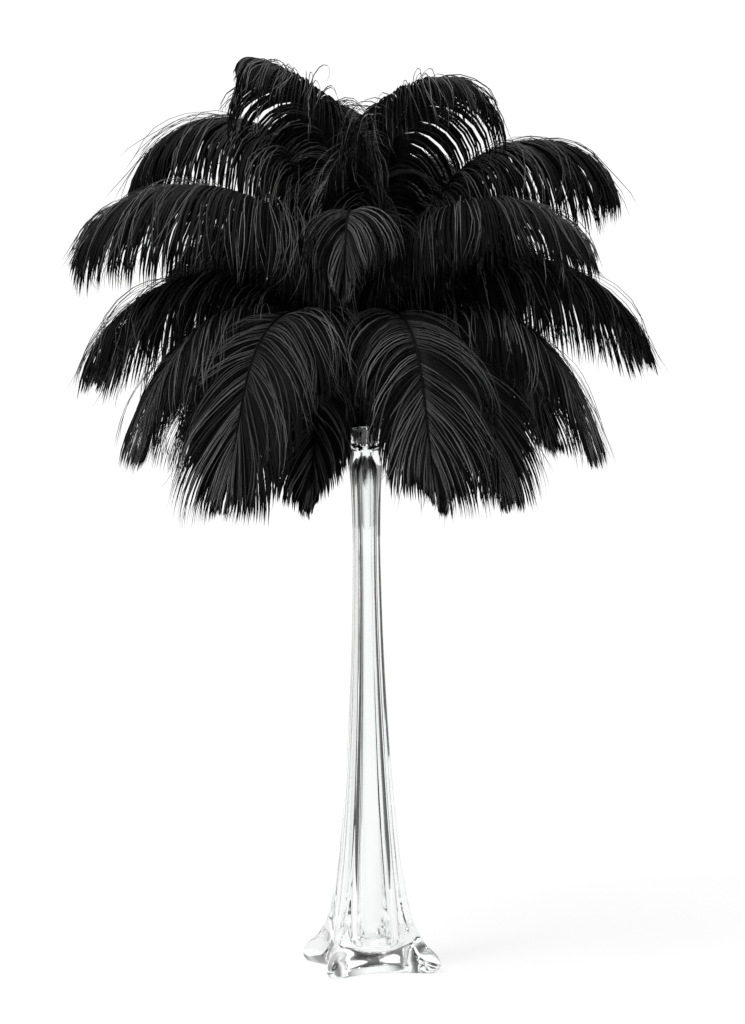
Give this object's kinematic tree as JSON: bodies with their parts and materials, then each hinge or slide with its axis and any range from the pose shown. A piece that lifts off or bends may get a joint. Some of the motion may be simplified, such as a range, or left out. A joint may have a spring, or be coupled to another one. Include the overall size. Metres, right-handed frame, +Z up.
{
  "type": "ostrich plume spray in a glass tower vase",
  "caption": "Full spray of drooping black ostrich plumes standing in the cup of a tall clear glass tower vase with a square, four-toed foot; a table centrepiece.",
  "frame": {"origin": "middle of the flat underside of the vase's foot", "axes": "+Z up along the vase's axis, -Y towards the front of the spray, +X to the right as seen from the front"},
  "size_m": [0.6622, 0.5567, 1.0108],
  "materials": {
    "clear_glass": "clear, polished, thick-walled",
    "black_plume": "dyed black barbs with a soft grey sheen"
  },
  "bodies": {
    "root": {"vase": "clear_glass", "crown_plume_1": "black_plume", "crown_plume_2": "black_plume", "crown_plume_3": "black_plume", "crown_plume_4": "black_plume", "crown_plume_5": "black_plume", "crown_plume_6": "black_plume", "middle_plume_1": "black_plume", "middle_plume_2": "black_plume", "middle_plume_3": "black_plume", "middle_plume_4": "black_plume", "middle_plume_5": "black_plume", "middle_plume_6": "black_plume", "middle_plume_7": "black_plume", "middle_plume_8": "black_plume", "skirt_plume_1": "black_plume", "skirt_plume_2": "black_plume", "skirt_plume_3": "black_plume", "skirt_plume_4": "black_plume", "skirt_plume_5": "black_plume", "skirt_plume_6": "black_plume", "skirt_plume_7": "black_plume", "skirt_plume_8": "black_plume", "skirt_plume_9": "black_plume", "inner_plume_1": "black_plume"}
  },
  "joints": []
}
